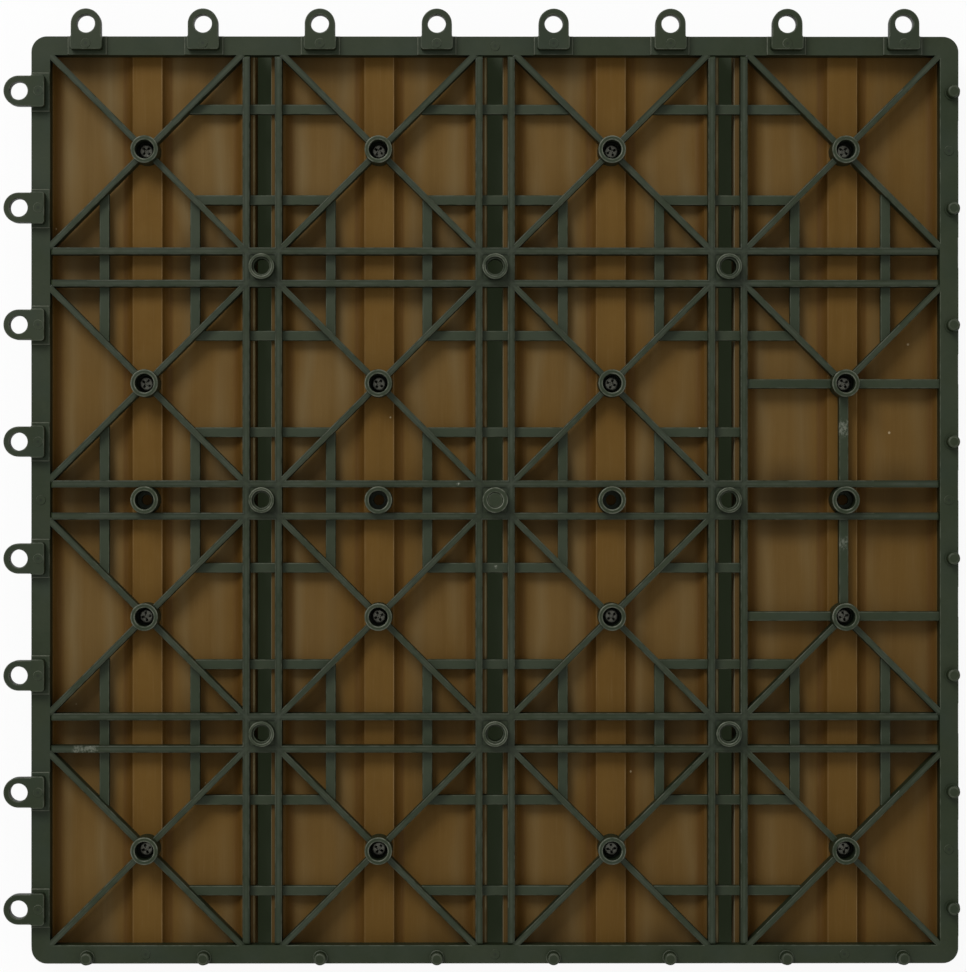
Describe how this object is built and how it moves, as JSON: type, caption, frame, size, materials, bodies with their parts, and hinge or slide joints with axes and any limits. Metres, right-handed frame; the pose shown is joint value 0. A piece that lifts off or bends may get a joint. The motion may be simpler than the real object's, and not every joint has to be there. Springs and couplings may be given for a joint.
{
  "type": "interlocking deck tile",
  "caption": "Square deck tile with slats on a ribbed plastic base that clips to its neighbours, lying deck face down.",
  "frame": {"origin": "middle of the whole outline, loops included, at the plane of the deck face that the tile lies on", "axes": "+Z from the deck face towards the ground side of the base, +X towards the side with pegs that the slats run along, +Y along the slats towards the side with loops"},
  "size_m": [0.3073, 0.3073, 0.022],
  "materials": {
    "base_plastic": "satin dark green-black moulded polypropylene",
    "slat_composite": "matt brown extruded wood-plastic composite",
    "screw_steel": "dark passivated steel"
  },
  "bodies": {
    "root": {"base_grid": "base_plastic", "slat_1": "slat_composite", "slat_2": "slat_composite", "slat_3": "slat_composite", "slat_4": "slat_composite", "deck_screws": "screw_steel"}
  },
  "joints": []
}
